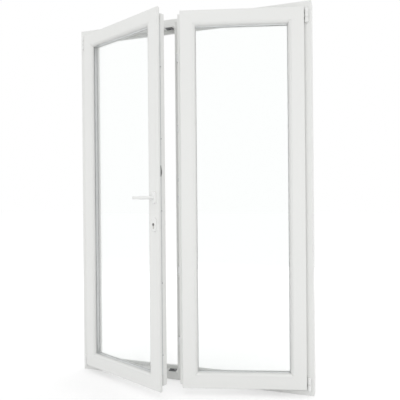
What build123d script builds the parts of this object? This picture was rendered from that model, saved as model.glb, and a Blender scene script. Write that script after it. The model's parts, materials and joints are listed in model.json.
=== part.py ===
from build123d import *
import os

# Double balcony door in white PVC-U, seen from the room: a four-sided frame, an active leaf on the left
# with a lever handle and a key cylinder, and a passive leaf on the right with a floating mullion.
# X runs to the right, Y away from the room, Z up. The origin is the middle of the sill's underside.
# Every piece is drawn with the door shut, and each leaf is then swung open about its hinges.

# Outer frame, in millimetres
frame_width = 1400.0
frame_height = 2100.0
frame_face = 45.0
frame_lip = 66.0
lip_thickness = 15.0
lip_bevel = 5.0
frame_edge_radius = 2.0
lip_edge = 1.5
perimeter_groove_width = 8.0
perimeter_groove_depth = 4.0
perimeter_groove_inset = 10.0

# Fixing screws through the jambs
fixing_hole_radius = 4.0
fixing_end_distance = 250.0
fixing_inner_distance = 750.0

# How far each leaf stands open, in degrees
left_open_angle = 23.5
right_open_angle = 14.9

# Leaves and the rebate that they close into
meeting_gap = 6.0
leaf_overlap = 8.0
hardware_gap = 12.0
seal_gap = 5.0
leaf_depth = 70.0
leaf_face = 68.0
flange_thickness = 15.0
leaf_edge_radius = 3.0
leaf_back_edge = 2.0

# Hardware groove round the leaf's edge
hardware_axis = 19.0
faceplate_width = 16.0
faceplate_thickness = 3.0
groove_width = 12.0
groove_depth = 9.0

# Double glazing, its beads and its seals
bead_width = 16.0
bead_depth = 14.5
bead_lip = 6.0
bead_foot = 6.0
bead_clearance = 0.2
bead_flat = 2.0
bead_edge = 3.0
bead_nose_reach = 8.4
bead_nose_depth = 4.0
pane_thickness = 4.0
pane_cavity = 16.0
pane_edge_gap = 5.0
bead_seal_thickness = 2.5
back_seal_thickness = 4.0
glazing_seal_width = 7.0
glazing_seal_setback = 0.8
glazing_nose = 7.0
glazing_slope = 14.0
glazing_edge = 1.0
spacer_setback = 1.5
spacer_width = 12.0

# Closing seals on the leaf flanges, the frame lip and the mullion
closing_seal_width = 5.0
closing_seal_inset = 2.0
closing_seal_slack = 0.5
closing_seal_edge = 1.5
lip_seal_inset = 3.0

# Floating mullion on the passive leaf
mullion_cover = 10.0
mullion_bevel = 4.0
mullion_edge_radius = 2.0
mullion_cap_thickness = 2.5

# Keeps, locking cams, and the lifter with the ramp that it runs up
keep_length = 42.0
keep_width = 26.0
keep_height = 7.0
keep_front = 4.0
keep_edge = 1.5
keep_slot_width = 14.0
keep_slot_length = 30.0
keep_slot_floor = 1.5
keep_from_meeting = 111.0
keep_spacing = 383.0
keep_count = 5
cam_offset = 60.0
cam_radius = 5.5
cam_height = 7.0
lifter_height = 1172.0
lifter_length = 60.0
lifter_width = 11.0
lifter_reach = 6.0
ramp_length = 20.0
ramp_width = 16.0
ramp_thickness = 5.0
ramp_gap = 6.0
faceplate_end_gap = 60.0
corner_faceplate_length = 260.0

# Hinges
hinge_offset = 13.5
hinge_standoff = 12.0
knuckle_radius = 8.5
knuckle_edge = 1.2
pin_radius = 4.0
pin_clearance = 0.05
knuckle_gap = 0.8
knuckle_height = 25.0
pivot_knuckle_height = 32.0
pivot_socket_height = 38.0
pivot_drop = 9.0
socket_end = 4.0
hinge_top_inset = 5.0
bearing_width = 22.0
bearing_plate = 1.5
bearing_web = 12.0
arm_thickness = 2.5
arm_leg = 26.0
arm_edge_gap = 3.0
seal_notch_gap = 1.0

# Lever handle and its spindle
handle_inset = 33.0
handle_height = 1061.0
lever_length = 122.0
lever_projection = 46.0
lever_bend_radius = 15.0
neck_radius = 9.0
neck_gap = 0.5
neck_clearance = 0.3
grip_reach = 48.0
grip_height = 19.0
grip_thickness = 12.5
waist_reach = 96.0
waist_height = 14.5
waist_thickness = 11.0
tip_height = 16.0
tip_thickness = 11.5
tip_taper = 5.0
tip_end_height = 9.0
tip_end_thickness = 6.0
lever_facet = 0.29
rosette_width = 32.0
rosette_height = 66.0
rosette_thickness = 10.0
rosette_corner = 13.0
rosette_edge = 3.0
spindle_size = 8.0
spindle_socket = 28.0
spindle_hole_radius = 7.0
spindle_depth = 44.0

# Half cylinder for the key, and its escutcheon
cylinder_drop = 142.0
cylinder_radius = 8.5
cylinder_web = 10.0
cylinder_height = 33.0
cylinder_proud = 1.5
cylinder_depth = 44.0
cylinder_clearance = 0.2
key_slot_width = 2.4
key_slot_height = 9.0
key_slot_depth = 6.0
escutcheon_width = 32.0
escutcheon_height = 77.0
escutcheon_thickness = 8.0
escutcheon_corner = 14.0
escutcheon_edge = 2.5

# Drain covers on the weather side of the sill
drain_width = 42.0
drain_height = 13.0
drain_thickness = 5.0
drain_corner = 4.0
drain_edge = 2.0
drain_level = 24.0
drain_spacing = 440.0
drain_count = 3

# Depths, from the room side to the weather side
frame_depth = leaf_depth - flange_thickness + lip_thickness
room_face = -frame_depth / 2
weather_face = frame_depth / 2
lip_front = weather_face - lip_thickness
leaf_front = room_face - seal_gap - flange_thickness
leaf_back = leaf_front + leaf_depth
flange_back = leaf_front + flange_thickness
hardware_y = flange_back + hardware_axis

# Widths and heights of the closed leaves
flange_inset = frame_face - leaf_overlap
flange_reach = leaf_overlap + hardware_gap
leaf_outer_x = frame_width / 2 - flange_inset
leaf_inner_x = meeting_gap / 2
leaf_bottom = flange_inset
leaf_top = frame_height - flange_inset

# Distances inward from a leaf's flange edge, and depths from its room side
sight_line = leaf_face + bead_width
glazing_floor = leaf_face - bead_foot
pane_edge = glazing_floor + pane_edge_gap
inner_pane_front = leaf_front + bead_depth + bead_seal_thickness
outer_pane_front = inner_pane_front + pane_thickness + pane_cavity
outer_pane_back = outer_pane_front + pane_thickness
glazing_stop = outer_pane_back + back_seal_thickness - leaf_front

# Hinge axes
hinge_x = leaf_outer_x + hinge_offset
hinge_y = room_face - hinge_standoff

os.makedirs("parts", exist_ok=True)


def swing(side, angle):
    """Placement that opens a leaf into the room about its hinge axis: side -1 is left, 1 is right."""
    axis_place = Location((side * hinge_x, hinge_y, 0))
    return axis_place * Location((0, 0, 0), (0, 0, side * angle)) * axis_place.inverse()


left_swing = swing(-1, left_open_angle)
right_swing = swing(1, right_open_angle)


def save(piece, name, placement=Location()):
    """Put a finished piece in place, label it and write it."""
    placed = piece.part.moved(placement)
    placed.label = name
    export_step(placed, f"parts/{name}.step")


def bar_planes(left, right, bottom, top, front):
    """Section planes and lengths of the four bars of a frame: local X into the opening, local Y deeper."""
    return {
        "left": (Plane((left, front, bottom), x_dir=(1, 0, 0), z_dir=(0, 0, 1)), top - bottom),
        "top": (Plane((left, front, top), x_dir=(0, 0, -1), z_dir=(1, 0, 0)), right - left),
        "right": (Plane((right, front, top), x_dir=(-1, 0, 0), z_dir=(0, 0, -1)), top - bottom),
        "bottom": (Plane((right, front, bottom), x_dir=(0, 0, 1), z_dir=(-1, 0, 0)), right - left),
    }


def mitred_bar(profile, plane, length, joint_gap=0.0):
    """One bar of a frame, extruded from its profile and cut to 45 degrees at both ends."""
    start = plane.origin + plane.z_dir * joint_gap
    end = plane.origin + plane.z_dir * (length - joint_gap)
    with BuildPart() as bar:
        with BuildSketch(plane):
            add(profile.sketch)
        extrude(amount=length)
        split(bisect_by=Plane(start, z_dir=plane.z_dir - plane.x_dir), keep=Keep.TOP)
        split(bisect_by=Plane(end, z_dir=-plane.z_dir - plane.x_dir), keep=Keep.TOP)
    return bar


def closed_plane(y):
    """A plane parallel to the closed door at depth y, facing the weather side: local X is the door's -X."""
    return Plane((0, y, 0), x_dir=(-1, 0, 0), z_dir=(0, 1, 0))


def rectangular_ring(bounds, outer, inner, front, back, edge=0.0):
    """A four-sided ring between two insets from a rectangle, with its weather-side edges chamfered."""
    left, right, bottom, top = bounds
    with BuildPart() as ring:
        with BuildSketch(closed_plane(front)):
            with Locations((-(left + right) / 2, (bottom + top) / 2)):
                Rectangle(right - left - 2 * outer, top - bottom - 2 * outer)
                Rectangle(right - left - 2 * inner, top - bottom - 2 * inner, mode=Mode.SUBTRACT)
        extrude(amount=back - front)
        if edge > 0:
            chamfer(ring.faces().sort_by(Axis.Y)[-1].edges(), edge)
    return ring


# Section of the frame: room face, rebate floor, weather lip and the grooves round its outside
groove_front = perimeter_groove_inset
groove_back = frame_depth - perimeter_groove_inset
with BuildSketch() as frame_profile:
    with BuildLine():
        Polyline(
            (0, 0),
            (frame_face, 0),
            (frame_face, lip_front - room_face),
            (frame_lip, lip_front - room_face),
            (frame_lip, frame_depth - lip_bevel),
            (frame_lip - lip_bevel, frame_depth),
            (0, frame_depth),
            (0, groove_back),
            (perimeter_groove_depth, groove_back),
            (perimeter_groove_depth, groove_back - perimeter_groove_width),
            (0, groove_back - perimeter_groove_width),
            (0, groove_front + perimeter_groove_width),
            (perimeter_groove_depth, groove_front + perimeter_groove_width),
            (perimeter_groove_depth, groove_front),
            (0, groove_front),
            close=True,
        )
    make_face()
    fillet(frame_profile.vertices().group_by(Axis.Y)[0], frame_edge_radius)
    chamfer(frame_profile.vertices().group_by(Axis.X)[-1], lip_edge)

# Section of a leaf: flange, hardware groove, weather face and glazing rebate
plate_front = hardware_y - faceplate_width / 2 - leaf_front
plate_back = hardware_y + faceplate_width / 2 - leaf_front
slot_front = hardware_y - groove_width / 2 - leaf_front
slot_back = hardware_y + groove_width / 2 - leaf_front
plate_floor = flange_reach + faceplate_thickness
with BuildSketch() as leaf_profile:
    with BuildLine():
        Polyline(
            (0, 0),
            (leaf_face, 0),
            (leaf_face, bead_lip),
            (glazing_floor, bead_lip),
            (glazing_floor, glazing_stop),
            (sight_line, glazing_stop),
            (sight_line, glazing_stop + glazing_nose),
            (sight_line - glazing_slope, leaf_depth),
            (flange_reach, leaf_depth),
            (flange_reach, plate_back),
            (plate_floor, plate_back),
            (plate_floor, slot_back),
            (plate_floor + groove_depth, slot_back),
            (plate_floor + groove_depth, slot_front),
            (plate_floor, slot_front),
            (plate_floor, plate_front),
            (flange_reach, plate_front),
            (flange_reach, flange_thickness),
            (0, flange_thickness),
            close=True,
        )
    make_face()
    fillet(leaf_profile.vertices().group_by(Axis.X)[0], leaf_edge_radius)
    chamfer(leaf_profile.vertices().group_by(Axis.Y)[-1], leaf_back_edge)
    chamfer(leaf_profile.vertices().group_by(Axis.X)[-1], glazing_edge)

# Section of a glazing bead: a curved nose in front, and a foot under the leaf's lip
bead_start = leaf_face + bead_clearance
bead_floor = glazing_floor + bead_clearance
bead_hook = bead_lip + bead_clearance
with BuildSketch() as bead_profile:
    with BuildLine():
        nose = ThreePointArc(
            (bead_start + bead_flat, bead_clearance),
            (bead_start + bead_flat + bead_nose_reach, bead_nose_depth),
            (sight_line, bead_depth - bead_edge),
        )
        Polyline(
            nose @ 1,
            (sight_line, bead_depth),
            (bead_floor, bead_depth),
            (bead_floor, bead_hook),
            (bead_start, bead_hook),
            (bead_start, bead_clearance),
            nose @ 0,
        )
    make_face()


# Frame
frame_bars = bar_planes(-frame_width / 2, frame_width / 2, 0, frame_height, room_face)
frame_head = mitred_bar(frame_profile, *frame_bars["top"])
frame_sill = mitred_bar(frame_profile, *frame_bars["bottom"])
save(frame_head, "frame_head")
save(frame_sill, "frame_sill")


def jamb(side, key):
    """A side of the frame with the screw holes that fasten it to the wall."""
    with BuildPart() as post:
        add(mitred_bar(frame_profile, *frame_bars[key]).part)
        drill = Plane((side * frame_width / 2, 0, 0), x_dir=(0, 1, 0), z_dir=(side, 0, 0))
        heights = [fixing_end_distance, fixing_inner_distance]
        heights += [frame_height - height for height in heights]
        with BuildSketch(drill):
            with Locations(*[(0, side * height) for height in heights]):
                Circle(fixing_hole_radius)
        extrude(amount=-frame_lip, mode=Mode.SUBTRACT)
    return post


save(jamb(-1, "left"), "frame_left_jamb")
save(jamb(1, "right"), "frame_right_jamb")

frame_bounds = (-frame_width / 2, frame_width / 2, 0, frame_height)
lip_seal_inner = frame_lip - lip_seal_inset
frame_seal = rectangular_ring(
    frame_bounds,
    lip_seal_inner - closing_seal_width,
    lip_seal_inner,
    leaf_back + closing_seal_slack,
    lip_front,
)
save(frame_seal, "frame_seal")


def keep_block():
    """A keep lying on a rebate floor: length along X, with an open slot for the cam."""
    with BuildPart() as block:
        Box(keep_length, keep_width, keep_height, align=(Align.CENTER, Align.CENTER, Align.MIN))
        with Locations((-keep_length / 2, 0, keep_slot_floor)):
            Box(
                keep_slot_length,
                keep_slot_width,
                keep_height,
                align=(Align.MIN, Align.CENTER, Align.MIN),
                mode=Mode.SUBTRACT,
            )
        chamfer(block.faces().sort_by(Axis.Z)[-1].edges().filter_by(Axis.Y), keep_edge)
    return block


keep = keep_block()
keep_y = room_face + keep_front + keep_width / 2
active_keep_x = -leaf_inner_x - keep_from_meeting
head_seat = Plane((active_keep_x, keep_y, frame_height - frame_face), z_dir=(0, 0, -1))
with BuildPart() as head_keep:
    add(keep.part.moved(head_seat.location))
with BuildPart() as sill_keep:
    add(keep.part.moved(Location((active_keep_x, keep_y, frame_face))))
save(head_keep, "head_keep")
save(sill_keep, "sill_keep")

with BuildPart() as drain_covers:
    with BuildSketch(closed_plane(weather_face)) as drain_outlines:
        with Locations((0, drain_level)):
            with GridLocations(drain_spacing, 1, drain_count, 1):
                Rectangle(drain_width, drain_height)
        chamfer(drain_outlines.vertices(), drain_corner)
    extrude(amount=drain_thickness)
    chamfer(drain_covers.faces().group_by(Axis.Y)[-1].edges(), drain_edge)
save(drain_covers, "drain_covers")


# Hinges, drawn for the left leaf and mirrored for the right
top_end = leaf_top - hinge_top_inset
top_knuckles = [top_end - knuckle_height * n - knuckle_gap * (n - 1) for n in (1, 2, 3)]
pivot_bottom = leaf_bottom - pivot_drop
socket_bottom = pivot_bottom + pivot_knuckle_height + knuckle_gap


lower_end = 0
upper_end = -1


def knuckle(bottom, height, free_end=None):
    """A round hinge knuckle standing on the hinge axis, chamfered where it ends the row of knuckles."""
    with BuildPart() as barrel:
        with Locations((-hinge_x, hinge_y, bottom)):
            Cylinder(knuckle_radius, height, align=(Align.CENTER, Align.CENTER, Align.MIN))
        if free_end is not None:
            chamfer(barrel.edges().filter_by(GeomType.CIRCLE).sort_by(Axis.Z)[free_end], knuckle_edge)
    return barrel


def frame_bearing(knuckles, plate_bottom, plate_top, pin_bottom, pin_top):
    """The frame's half of a hinge: a plate on the frame face, webs, knuckles and the pin."""
    with BuildPart() as bearing:
        plate_y = room_face - bearing_plate / 2
        with Locations((-hinge_x, plate_y, (plate_bottom + plate_top) / 2)):
            Box(bearing_width, bearing_plate, plate_top - plate_bottom)
        for bottom, height, free_end in knuckles:
            add(knuckle(bottom, height, free_end).part)
            with Locations((-hinge_x, hinge_y, bottom + knuckle_edge)):
                Box(
                    bearing_web,
                    hinge_standoff,
                    height - 2 * knuckle_edge,
                    align=(Align.CENTER, Align.MIN, Align.MIN),
                )
        with Locations((-hinge_x, hinge_y, pin_bottom)):
            Cylinder(pin_radius, pin_top - pin_bottom, align=(Align.CENTER, Align.CENTER, Align.MIN))
    return bearing


def leaf_arm(bottom, height, bore_height, free_end=None):
    """The leaf's half of a hinge: a bored knuckle and an arm that wraps the flange into the rebate."""
    arm_bottom = bottom + arm_edge_gap
    arm_height = height - 2 * arm_edge_gap
    with BuildPart() as arm:
        add(knuckle(bottom, height, free_end).part)
        with BuildSketch(Plane.XY.offset(arm_bottom)):
            with Locations((-hinge_x, flange_back)):
                Rectangle(hinge_offset + flange_reach, arm_thickness, align=(Align.MIN, Align.MIN))
            with Locations((-leaf_outer_x + flange_reach, flange_back)):
                Rectangle(arm_thickness, arm_leg, align=(Align.MAX, Align.MIN))
        extrude(amount=arm_height)
        with Locations((-hinge_x, hinge_y, bottom)):
            Cylinder(
                pin_radius + pin_clearance,
                bore_height,
                align=(Align.CENTER, Align.CENTER, Align.MIN),
                mode=Mode.SUBTRACT,
            )
    return arm


def mirrored(piece):
    """The same piece for the right-hand side."""
    with BuildPart() as other:
        add(mirror(piece.part, about=Plane.YZ, mode=Mode.PRIVATE))
    return other


top_bearing = frame_bearing(
    [(top_knuckles[0], knuckle_height, upper_end), (top_knuckles[2], knuckle_height, lower_end)],
    top_knuckles[2],
    top_end,
    top_knuckles[2] + knuckle_edge,
    top_end - knuckle_edge,
)
top_arm = leaf_arm(top_knuckles[1], knuckle_height, knuckle_height)
socket_top = socket_bottom + pivot_socket_height
bottom_pivot = frame_bearing(
    [(pivot_bottom, pivot_knuckle_height, lower_end)],
    pivot_bottom,
    socket_top,
    pivot_bottom + knuckle_edge,
    socket_top - socket_end - pin_clearance,
)
bottom_arm = leaf_arm(socket_bottom, pivot_socket_height, pivot_socket_height - socket_end, upper_end)
with BuildPart() as hinge_bearings:
    add(top_bearing.part)
    add(bottom_pivot.part)
with BuildPart() as hinge_arms:
    add(top_arm.part)
    add(bottom_arm.part)
save(hinge_bearings, "left_hinge_bearings")
save(mirrored(hinge_bearings), "right_hinge_bearings")
save(hinge_arms, "left_hinge_arms", left_swing)
save(mirrored(hinge_arms), "right_hinge_arms", right_swing)


# What both leaves share: rails, beads, panes, spacer and seals
def leaf_beads(bars):
    """The four snap-in beads, parted at their mitres by the bead clearance."""
    with BuildPart() as beads:
        for plane, length in bars.values():
            add(mitred_bar(bead_profile, plane, length, bead_clearance).part)
    return beads


def leaf_panes(bounds):
    """The inner and the outer sheet of a sealed glazing unit."""
    left, right, bottom, top = bounds
    with BuildPart() as panes:
        for front in (inner_pane_front, outer_pane_front):
            with BuildSketch(closed_plane(front)):
                with Locations((-(left + right) / 2, (bottom + top) / 2)):
                    Rectangle(right - left - 2 * pane_edge, top - bottom - 2 * pane_edge)
            extrude(amount=pane_thickness)
    return panes


def glazing_seals(bounds):
    """The seal between bead and inner pane, and the seal between outer pane and leaf."""
    inner = sight_line - glazing_seal_setback
    outer = inner - glazing_seal_width
    with BuildPart() as seals:
        add(rectangular_ring(bounds, outer, inner, leaf_front + bead_depth, inner_pane_front).part)
        add(rectangular_ring(bounds, outer, inner, outer_pane_back, leaf_front + glazing_stop).part)
    return seals


def flange_seal(bounds, hinge_side):
    """The seal behind a leaf's flange, notched where the hinge arms pass."""
    outer = closing_seal_inset
    inner = closing_seal_inset + closing_seal_width
    back = room_face - closing_seal_slack
    notches = [(top_knuckles[1], knuckle_height), (socket_bottom, pivot_socket_height)]
    with BuildPart() as seal:
        add(rectangular_ring(bounds, outer, inner, flange_back, back, closing_seal_edge).part)
        for bottom, height in notches:
            with Locations((hinge_side * leaf_outer_x, flange_back, bottom + arm_edge_gap - seal_notch_gap)):
                Box(
                    2 * flange_reach,
                    seal_gap,
                    height - 2 * arm_edge_gap + 2 * seal_notch_gap,
                    align=(Align.CENTER, Align.MIN, Align.MIN),
                    mode=Mode.SUBTRACT,
                )
    return seal


def shared_pieces(prefix, bounds, placement):
    """Write the rails, beads, panes, spacer and glazing seals of one leaf."""
    bars = bar_planes(*bounds, leaf_front)
    save(mitred_bar(leaf_profile, *bars["top"]), prefix + "_top_rail", placement)
    save(mitred_bar(leaf_profile, *bars["bottom"]), prefix + "_bottom_rail", placement)
    save(leaf_beads(bars), prefix + "_glazing_beads", placement)
    save(leaf_panes(bounds), prefix + "_panes", placement)
    spacer_inner = sight_line - spacer_setback
    spacer = rectangular_ring(
        bounds,
        spacer_inner - spacer_width,
        spacer_inner,
        inner_pane_front + pane_thickness,
        outer_pane_front,
    )
    save(spacer, prefix + "_pane_spacer", placement)
    save(glazing_seals(bounds), prefix + "_glazing_seals", placement)
    return bars


# Active leaf
left_bounds = (-leaf_outer_x, -leaf_inner_x, leaf_bottom, leaf_top)
left_bars = shared_pieces("left_leaf", left_bounds, left_swing)
save(mitred_bar(leaf_profile, *left_bars["left"]), "left_leaf_hinge_stile", left_swing)
save(flange_seal(left_bounds, -1), "left_leaf_seal", left_swing)

handle_x = -leaf_inner_x - handle_inset
cylinder_level = handle_height - cylinder_drop
room_side = Plane((handle_x, leaf_front, handle_height), x_dir=(1, 0, 0), z_dir=(0, -1, 0))


def cylinder_outline(clearance):
    """The pear-shaped section of a profile cylinder, centred on its plug."""
    foot_radius = cylinder_web / 2 + clearance
    foot_level = cylinder_radius + foot_radius - cylinder_height - clearance
    with BuildSketch() as outline:
        Circle(cylinder_radius + clearance)
        with Locations((0, foot_level)):
            Circle(foot_radius)
            Rectangle(2 * foot_radius, -foot_level, align=(Align.CENTER, Align.MIN))
    return outline


with BuildPart() as left_leaf_lock_stile:
    add(mitred_bar(leaf_profile, *left_bars["right"]).part)
    with BuildSketch(room_side):
        Circle(spindle_hole_radius)
    extrude(amount=-(spindle_depth + neck_gap), mode=Mode.SUBTRACT)
    with BuildSketch(room_side):
        with Locations((0, -cylinder_drop)):
            add(cylinder_outline(cylinder_clearance).sketch)
    extrude(amount=-(cylinder_depth + cylinder_clearance), mode=Mode.SUBTRACT)
save(left_leaf_lock_stile, "left_leaf_lock_stile", left_swing)

lock_edge_x = -leaf_inner_x - flange_reach
top_edge_z = leaf_top - flange_reach
bottom_edge_z = leaf_bottom + flange_reach
corner_plate_x = lock_edge_x - faceplate_end_gap
with BuildPart() as lock_faceplate:
    with Locations((lock_edge_x, hardware_y, frame_height / 2)):
        Box(
            faceplate_thickness,
            faceplate_width,
            top_edge_z - bottom_edge_z - 2 * faceplate_end_gap,
            align=(Align.MAX, Align.CENTER, Align.CENTER),
        )
    for level, side in ((top_edge_z, Align.MAX), (bottom_edge_z, Align.MIN)):
        with Locations((corner_plate_x, hardware_y, level)):
            Box(
                corner_faceplate_length,
                faceplate_width,
                faceplate_thickness,
                align=(Align.MAX, Align.CENTER, side),
            )
save(lock_faceplate, "lock_faceplate", left_swing)

lowest_keep = (frame_height - keep_spacing * (keep_count - 1)) / 2
keep_levels = [lowest_keep + keep_spacing * n for n in range(keep_count)]
top_cam_x = active_keep_x - cam_offset
cam_planes = [
    Plane((lock_edge_x, hardware_y, level - cam_offset), z_dir=(1, 0, 0)) for level in keep_levels
]
cam_planes += [
    Plane((top_cam_x, hardware_y, top_edge_z), z_dir=(0, 0, 1)),
    Plane((top_cam_x, hardware_y, bottom_edge_z), z_dir=(0, 0, -1)),
]
with BuildPart() as lock_cams:
    with BuildSketch(*cam_planes):
        Circle(cam_radius)
    extrude(amount=cam_height)
save(lock_cams, "lock_cams", left_swing)

with BuildPart() as leaf_lifter:
    with BuildSketch(Plane.XZ.offset(-hardware_y)):
        with BuildLine():
            Polyline(
                (lock_edge_x, lifter_height),
                (lock_edge_x + lifter_reach, lifter_height + lifter_length / 4),
                (lock_edge_x + lifter_reach, lifter_height + lifter_length / 2),
                (lock_edge_x, lifter_height + lifter_length),
                close=True,
            )
        make_face()
    extrude(amount=lifter_width / 2, both=True)
save(leaf_lifter, "leaf_lifter", left_swing)


# Handle set, drawn on a face that looks along local Z with the grip towards local -X
def rosette():
    """The oval plate that guides the neck of a lever."""
    with BuildPart() as plate:
        with BuildSketch():
            RectangleRounded(rosette_width, rosette_height, rosette_corner)
        extrude(amount=rosette_thickness)
        chamfer(plate.faces().sort_by(Axis.Z)[-1].edges(), rosette_edge)
        with BuildSketch():
            Circle(neck_radius + neck_clearance)
        extrude(amount=rosette_thickness, mode=Mode.SUBTRACT)
    return plate


def lever():
    """A lever: round neck, then an eight-sided bend and grip that narrows to a waist before its tip."""
    bend_level = lever_projection - lever_bend_radius
    bend_size = 2 * neck_radius
    sections = [
        (lever_bend_radius, bend_size, bend_size),
        (grip_reach, grip_height, grip_thickness),
        (waist_reach, waist_height, waist_thickness),
        (lever_length - tip_taper, tip_height, tip_thickness),
        (lever_length, tip_end_height, tip_end_thickness),
    ]
    with BuildPart() as arm:
        with BuildSketch(Plane.XY.offset(neck_gap)):
            Circle(neck_radius)
        extrude(amount=bend_level - neck_gap)
        with BuildSketch(Plane.XY.offset(bend_level)) as bend_section:
            Rectangle(bend_size, bend_size)
            chamfer(bend_section.vertices(), lever_facet * bend_size)
        revolve(axis=Axis((-lever_bend_radius, 0, bend_level), (0, -1, 0)), revolution_arc=90)
        for reach, height, thickness in sections:
            place = Plane((-reach, 0, lever_projection), x_dir=(0, 1, 0), z_dir=(-1, 0, 0))
            with BuildSketch(place) as grip_section:
                Rectangle(height, thickness)
                chamfer(grip_section.vertices(), lever_facet * thickness)
        loft(ruled=True)
        with Locations((0, 0, neck_gap)):
            Box(
                spindle_size,
                spindle_size,
                spindle_socket,
                align=(Align.CENTER, Align.CENTER, Align.MIN),
                mode=Mode.SUBTRACT,
            )
    return arm


def escutcheon():
    """The rounded plate round the key cylinder."""
    with BuildPart() as plate:
        with BuildSketch():
            RectangleRounded(escutcheon_width, escutcheon_height, escutcheon_corner)
        extrude(amount=escutcheon_thickness)
        chamfer(plate.faces().sort_by(Axis.Z)[-1].edges(), escutcheon_edge)
        with BuildSketch():
            add(cylinder_outline(cylinder_clearance).sketch)
        extrude(amount=escutcheon_thickness, mode=Mode.SUBTRACT)
    return plate


room_place = room_side.location
key_drop = Location((0, -cylinder_drop, 0))

with BuildPart() as handle_rosette:
    add(rosette().part.moved(room_place))
save(handle_rosette, "handle_rosette", left_swing)

with BuildPart() as cylinder_escutcheon:
    add(escutcheon().part.moved(room_place * key_drop))
save(cylinder_escutcheon, "cylinder_escutcheon", left_swing)

cylinder_reach = escutcheon_thickness + cylinder_proud
with BuildPart() as lock_cylinder:
    with BuildSketch(room_side.offset(cylinder_reach)):
        with Locations((0, -cylinder_drop)):
            add(cylinder_outline(0).sketch)
    extrude(amount=-(cylinder_depth + cylinder_reach))
    with BuildSketch(room_side.offset(cylinder_reach)):
        with Locations((0, -cylinder_drop)):
            Rectangle(key_slot_width, key_slot_height)
    extrude(amount=-key_slot_depth, mode=Mode.SUBTRACT)
save(lock_cylinder, "lock_cylinder", left_swing)

with BuildPart() as handle_lever:
    add(lever().part.moved(room_place))
save(handle_lever, "handle_lever", left_swing)

spindle_reach = neck_gap + spindle_socket
with BuildPart() as handle_spindle:
    with BuildSketch(room_side.offset(spindle_reach)):
        Rectangle(spindle_size, spindle_size)
    extrude(amount=-(spindle_depth + spindle_reach))
save(handle_spindle, "handle_spindle", left_swing)

# Passive leaf
right_bounds = (leaf_inner_x, leaf_outer_x, leaf_bottom, leaf_top)
right_bars = shared_pieces("right_leaf", right_bounds, right_swing)
save(mitred_bar(leaf_profile, *right_bars["right"]), "right_leaf_hinge_stile", right_swing)
save(mitred_bar(leaf_profile, *right_bars["left"]), "right_leaf_meeting_stile", right_swing)

# Floating mullion: a stem on the passive leaf's edge and a cover lip on the weather side
stem_floor = -leaf_inner_x - leaf_overlap
stem_root = leaf_inner_x + flange_reach
lip_left = stem_floor - (frame_lip - frame_face)
lip_right = stem_root + mullion_cover
stem_bottom = frame_face + seal_gap + mullion_cap_thickness
stem_top = frame_height - stem_bottom
cover_bottom = frame_lip + seal_gap
cover_top = frame_height - cover_bottom

with BuildPart() as floating_mullion:
    with BuildSketch(Plane.XY.offset(cover_bottom)) as mullion_section:
        with BuildLine():
            Polyline(
                (stem_floor, room_face),
                (stem_root, room_face),
                (stem_root, leaf_back),
                (lip_right, leaf_back),
                (lip_right, weather_face - mullion_bevel),
                (lip_right - mullion_bevel, weather_face),
                (lip_left + mullion_bevel, weather_face),
                (lip_left, weather_face - mullion_bevel),
                (lip_left, lip_front),
                (stem_floor, lip_front),
                close=True,
            )
        make_face()
        fillet(mullion_section.vertices().group_by(Axis.Y)[0].sort_by(Axis.X)[0], mullion_edge_radius)
    extrude(amount=cover_top - cover_bottom)
    with BuildSketch(Plane.XY.offset(stem_bottom)) as stem_section:
        with Locations((stem_floor, room_face)):
            Rectangle(stem_root - stem_floor, leaf_back - room_face, align=(Align.MIN, Align.MIN))
        fillet(stem_section.vertices().group_by(Axis.Y)[0].sort_by(Axis.X)[0], mullion_edge_radius)
    extrude(amount=stem_top - stem_bottom)
save(floating_mullion, "floating_mullion", right_swing)

with BuildPart() as mullion_end_caps:
    with BuildSketch(Plane.XY.offset(stem_top), Plane.XY.offset(stem_bottom - mullion_cap_thickness)):
        with Locations((stem_floor, room_face)):
            Rectangle(stem_root - stem_floor, leaf_back - room_face, align=(Align.MIN, Align.MIN))
    extrude(amount=mullion_cap_thickness)
save(mullion_end_caps, "mullion_end_caps", right_swing)

with BuildPart() as mullion_keeps:
    for level in keep_levels:
        seat = Plane((stem_floor, keep_y, level), x_dir=(0, 0, 1), z_dir=(-1, 0, 0))
        add(keep.part.moved(seat.location))
    with Locations((stem_floor, hardware_y, lifter_height - ramp_gap)):
        Box(ramp_thickness, ramp_width, ramp_length, align=(Align.MAX, Align.CENTER, Align.MAX))
save(mullion_keeps, "mullion_keeps", right_swing)

with BuildPart() as right_leaf_seal:
    add(flange_seal(right_bounds, 1).part)
    with Locations((lip_left + lip_seal_inset, lip_front, cover_bottom)):
        Box(
            closing_seal_width,
            seal_gap - closing_seal_slack,
            cover_top - cover_bottom,
            align=(Align.MIN, Align.MAX, Align.MIN),
        )
save(right_leaf_seal, "right_leaf_seal", right_swing)
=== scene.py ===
"""Looks of a white double balcony door: its finishes, smooth lever and covers, and small hardware.

Sizes are in metres. Pieces of a leaf are drawn with that leaf shut, and then take the place where
it stands.
"""

import json
import math

import bmesh
import bpy
from mathutils import Matrix, Vector

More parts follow.
